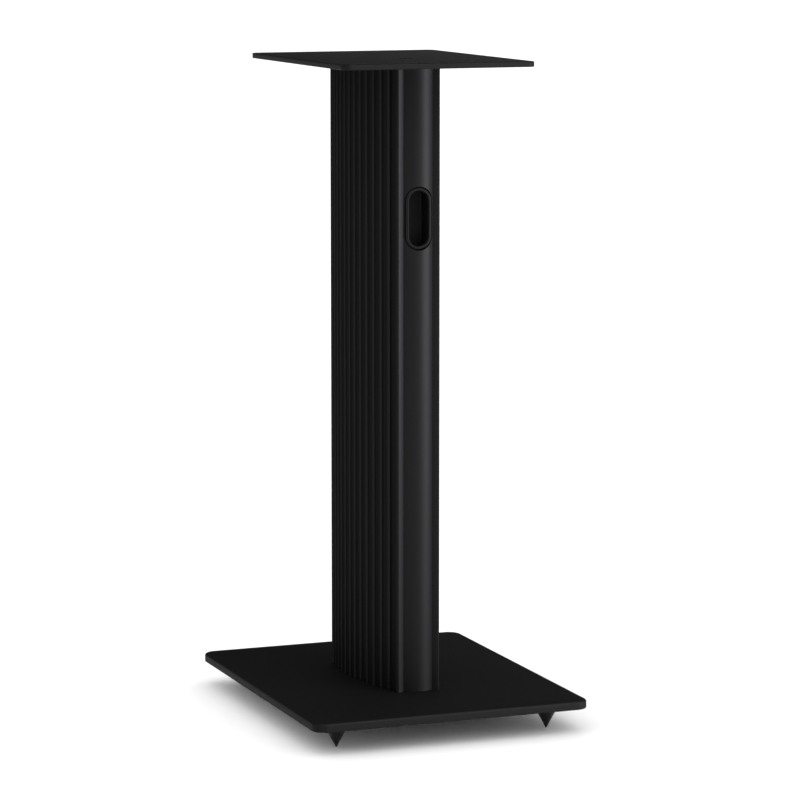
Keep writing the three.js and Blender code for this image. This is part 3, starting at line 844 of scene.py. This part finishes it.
def insert(corner, finish):
    """Threaded sleeve, knurled outside: its radius dips as a cosine along straight grooves.

    The bore's thread is a stud's thread turned inside out: bore + root - r.
    """
    (_, _, bottom), (right, _, top), middle = size_of(f"insert_{corner}")
    outer = right - middle[0]
    half = KNURL_DEPTH / 2
    angle = np.arange(KNURL_POINTS) * TURN / KNURL_POINTS
    knurl = outer - half + half * np.cos(KNURL_COUNT * angle)
    stud, turns = thread(
        INSERT_BORE, INSERT_ROOT, STUD_PITCH, bottom + THREAD_RUNOUT, top - THREAD_RUNOUT,
        KNURL_POINTS,
    )
    bore = [INSERT_BORE + INSERT_ROOT - row for row in stud]
    collar = INSERT_CHAMFER + INSERT_COLLAR
    radii = [outer - INSERT_CHAMFER, outer, knurl, knurl, outer, outer - INSERT_COLLAR,
             INSERT_ROOT, *bore[::-1], INSERT_ROOT, outer - INSERT_CHAMFER]
    heights = [bottom, bottom + INSERT_CHAMFER, bottom + collar, top - collar,
               top - INSERT_COLLAR, top, top, *turns[::-1], bottom, bottom]
    surface = revolved(radii, heights, KNURL_POINTS)
    fitted(f"insert_{corner}_knurled", [moved(surface, *middle[:2])], f"insert_{corner}", finish)


def top_screw(end, finish):
    """Countersunk screw with a hexagon socket, head upwards."""
    (_, _, point), (right, _, face), middle = size_of(f"top_screw_{end}")
    head = right - middle[0]
    neck = face - SINK_HEIGHT
    shank, turns = thread(
        SHANK_RADIUS, SHANK_ROOT, SHANK_PITCH, point + SHANK_POINT_LENGTH, neck - SINK_NECK
    )
    radii = [0, SHANK_POINT, *shank, SHANK_RADIUS,
             head - SINK_RIM, head, head - SINK_EDGE_WIDTH]
    heights = [point, point, *turns, neck, face - SINK_RIM, face - SINK_EDGE_DEPTH, face]
    socket = hexagon()
    floor = face - SINK_SOCKET_DEPTH
    radii += [socket + SINK_LEAD_IN, socket, socket, socket * SOCKET_FLOOR, 0]
    heights += [face, face - SINK_LEAD_IN, floor, floor - SOCKET_CONE, floor - SOCKET_POINT]
    surface = revolved(radii, heights)
    fitted(f"top_screw_{end}_threaded", [moved(surface, *middle[:2])], f"top_screw_{end}", finish)


def base_screw(end, finish):
    """Cap screw from below with a hexagon socket, head downwards."""
    (_, _, foot), (right, _, point), middle = size_of(f"base_screw_{end}")
    head = right - middle[0]
    seat = foot + CAP_HEIGHT
    socket = hexagon()
    floor = foot + CAP_SOCKET_DEPTH
    radii = [0, socket * SOCKET_FLOOR, socket, socket, socket + CAP_LEAD_IN,
             head - CAP_CHAMFER, head, head, head - CAP_EDGE]
    heights = [floor + SOCKET_POINT, floor + SOCKET_CONE, floor, foot + CAP_LEAD_IN, foot,
               foot, foot + CAP_CHAMFER, seat - CAP_EDGE, seat]
    shank, turns = thread(
        SHANK_RADIUS, SHANK_ROOT, SHANK_PITCH, seat + CAP_GRIP, point - SHANK_POINT_LENGTH
    )
    radii += [SHANK_RADIUS, SHANK_RADIUS, *shank, SHANK_POINT, 0]
    heights += [seat, seat + CAP_GRIP - CAP_RELIEF, *turns, point, point]
    surface = revolved(radii, heights)
    fitted(f"base_screw_{end}_threaded", [moved(surface, *middle[:2])], f"base_screw_{end}",
           finish)


def base_washer(end, finish):
    """Pressed washer with softened edges."""
    (_, _, bottom), (right, _, top), middle = size_of(f"base_washer_{end}")
    outer = right - middle[0]
    inner = SCREW_BORE
    soft = WASHER_ROUND
    radii = [inner + soft, outer - soft, outer, outer, outer - soft, inner + soft, inner, inner,
             inner + soft]
    heights = [bottom, bottom, bottom + soft, top - soft, top, top, top - soft, bottom + soft,
               bottom]
    surface = revolved(radii, heights)
    fitted(f"base_washer_{end}_pressed", [moved(surface, *middle[:2])], f"base_washer_{end}",
           finish)


# ---- studio ----
def pale_floor():
    """A wide white floor at the spikes' tips."""
    material, tree, shader, place = new_material("white_studio_floor")
    tone = add(tree, "ShaderNodeTexNoise", {}, {"Vector": place, "Scale": 4.0}).outputs["Fac"]
    paint(tree, shader, tone, "#fafafa", "#f8f8f8")
    shader.inputs["Roughness"].default_value = 0.9
    shader.inputs["Specular IOR Level"].default_value = 0.1
    mesh = bpy.data.meshes.new("studio_floor")
    corners = FLOOR_REACH * np.array(((-1, -1, 0), (1, -1, 0), (1, 1, 0), (-1, 1, 0)))
    mesh.from_pydata(corners, [], [(0, 1, 2, 3)])
    mesh.materials.append(material)
    placed("studio_floor", mesh)


def studio_world():
    """White to the camera and to glass. Gloss sees a dim studio, paler near the horizon.
    Everything else is lit by an even dome."""
    world = bpy.data.worlds.new("studio")
    bpy.context.scene.world = world
    world.use_nodes = True
    tree = world.node_tree
    path = add(tree, "ShaderNodeLightPath", {}, {}).outputs
    direction = add(tree, "ShaderNodeTexCoord", {}, {}).outputs["Generated"]
    height = add(tree, "ShaderNodeSeparateXYZ", {}, {"Vector": direction}).outputs["Z"]
    ramp = add(tree, "ShaderNodeValToRGB", {}, {"Fac": height})
    stops = ramp.color_ramp.elements
    for position, _ in GLOSS_LEVELS[1:-1]:
        stops.new(position)
    for stop, (position, level) in zip(stops, GLOSS_LEVELS):
        stop.position = position
        stop.color = (level, level, level, 1.0)
    lit = mixed(tree, path["Is Glossy Ray"], DOME_LEVEL, ramp.outputs["Color"])
    seen = add(tree, "ShaderNodeMath", {"operation": "MAXIMUM"}, {
        0: path["Is Camera Ray"], 1: path["Is Transmission Ray"],
    }).outputs["Value"]
    strength = mixed(tree, seen, lit, 1.0)
    background = tree.nodes["Background"]
    background.inputs["Color"].default_value = (1.0, 1.0, 1.0, 1.0)
    tree.links.new(strength, background.inputs["Strength"])


def soft_box(name, azimuth, distance, width, height, middle, power):
    """A flat lamp on a circle round the stand, azimuth to the right of -Y, that faces its middle.

    It is seen in gloss alone, so it draws highlights and casts no shadow on the floor.
    """
    data = bpy.data.lights.new(name, "AREA")
    data.shape = "RECTANGLE"
    data.size = width
    data.size_y = height
    data.energy = power
    lamp = bpy.data.objects.new(name, data)
    bpy.context.scene.collection.objects.link(lamp)
    angle = math.radians(azimuth)
    lamp.location = (distance * math.sin(angle), -distance * math.cos(angle), middle)
    lamp.rotation_euler = (math.pi / 2 - math.atan2(middle - MIDDLE_HEIGHT, distance), 0, angle)
    lamp.visible_diffuse = False


def camera():
    """Stands back from its aim along the line of sight, at the photograph's angle."""
    level = math.cos(CAMERA_TILT)
    ahead = np.array((
        math.sin(CAMERA_TURN) * level, math.cos(CAMERA_TURN) * level, -math.sin(CAMERA_TILT),
    ))
    data = bpy.data.cameras.new("photo_view")
    data.lens = CAMERA_LENS
    data.clip_end = CAMERA_REACH
    eye = bpy.data.objects.new("photo_view", data)
    eye.location = np.array(CAMERA_AIM) * MM - CAMERA_BACK * ahead
    eye.rotation_euler = (math.pi / 2 - CAMERA_TILT, 0, -CAMERA_TURN)
    bpy.context.scene.collection.objects.link(eye)
    bpy.context.scene.camera = eye


bpy.context.scene.view_settings.view_transform = "Standard"
camera()
pale_floor()
studio_world()
# The low box's upper edge is level with the top plate, so that no glare lies on that plate.
soft_box("low_soft_box", azimuth=49.5, distance=2.6, width=0.8, height=0.6,
         middle=MIDDLE_HEIGHT, power=95.0)
soft_box("high_soft_box", azimuth=21.0, distance=1.8, width=1.6, height=0.8,
         middle=2.5, power=110.0)

powder = satin_black_powder_coat()
steel = black_oxide_steel()
zinc = zinc_plated_steel()
plastic = moulded_black_plastic()
base_plate(powder)
top_plate(powder)
column(black_anodised_extrusion())
cable_bezel(plastic)
cable_exit_bush(plastic)
for corner in CORNERS:
    spike(corner, steel)
    insert(corner, zinc)
for end in ("rear", "front"):
    top_screw(end, steel)
    base_screw(end, steel)
    base_washer(end, zinc)
